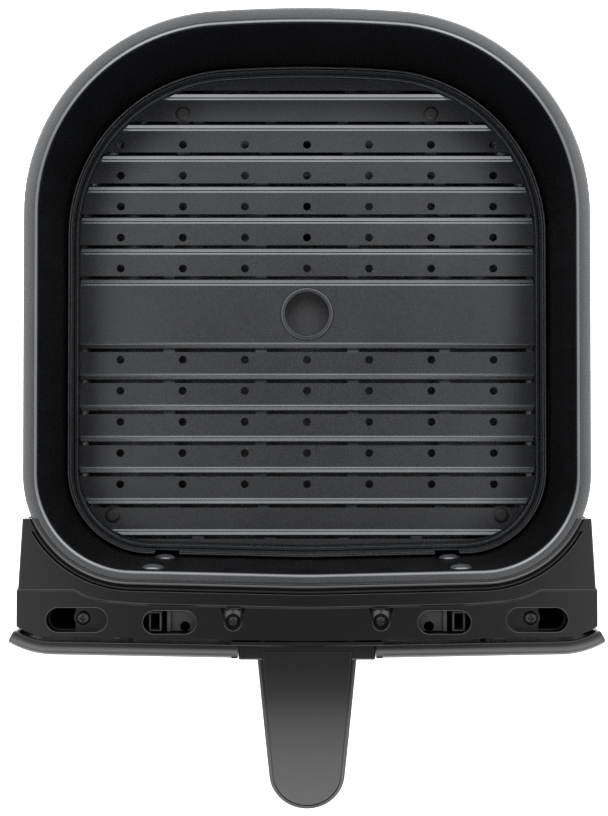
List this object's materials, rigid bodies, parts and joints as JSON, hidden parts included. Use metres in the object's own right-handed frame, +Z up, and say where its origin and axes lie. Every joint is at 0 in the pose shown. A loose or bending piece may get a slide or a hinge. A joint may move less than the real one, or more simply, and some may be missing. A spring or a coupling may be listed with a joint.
{
  "type": "air fryer drawer",
  "caption": "Air fryer drawer: deep round-cornered non-stick pan with a lift-out crisper plate, slotted front frame, curved front panel and arched pull handle.",
  "frame": {"origin": "centre of the footprint, on the plane that the pan rests on", "axes": "+Z up, the handle points along -Y, +X to the right of a person who stands at the handle and faces the pan"},
  "size_m": [0.2944, 0.3966, 0.1119],
  "materials": {
    "pan_coating": "dark grey non-stick coating on drawn steel, low sheen",
    "rivet_steel": "coated domed rivet heads",
    "bracket_steel": "stamped sheet steel",
    "plate_coating": "grey non-stick coating on pressed steel",
    "silicone": "black food-grade silicone, matt",
    "frame_plastic": "moulded black plastic, satin",
    "shell_plastic": "moulded black plastic, matt",
    "panel_plastic": "moulded black plastic, fine satin texture",
    "handle_plastic": "moulded black plastic, satin",
    "trim_plastic": "dark grey moulded inlay, fine satin texture",
    "black_screw": "black oxide cross-head screw",
    "zinc_screw": "zinc-plated cross-head screw"
  },
  "bodies": {
    "drawer": {"pan": "pan_coating", "wall_rivets": "rivet_steel", "pan_bracket": "bracket_steel", "front_frame": "frame_plastic", "frame_seal": "silicone", "frame_shell": "shell_plastic", "frame_screws": "black_screw", "shell_screws": "black_screw", "front_panel": "panel_plastic", "panel_screws": "zinc_screw", "handle_upper": "handle_plastic", "handle_panel": "trim_plastic", "handle_lower": "handle_plastic", "handle_shell_screws": "black_screw", "handle_base_screws": "zinc_screw"},
    "crisper": {"crisper_plate": "plate_coating", "plate_foot_front_left": "silicone", "plate_foot_front_right": "silicone", "plate_foot_rear_left": "silicone", "plate_foot_rear_right": "silicone"}
  },
  "joints": [
    {"name": "plate_lift", "type": "slide", "parent": "drawer", "child": "crisper", "axis": [0, 0, 1], "range_m": [0, 0.13]}
  ]
}
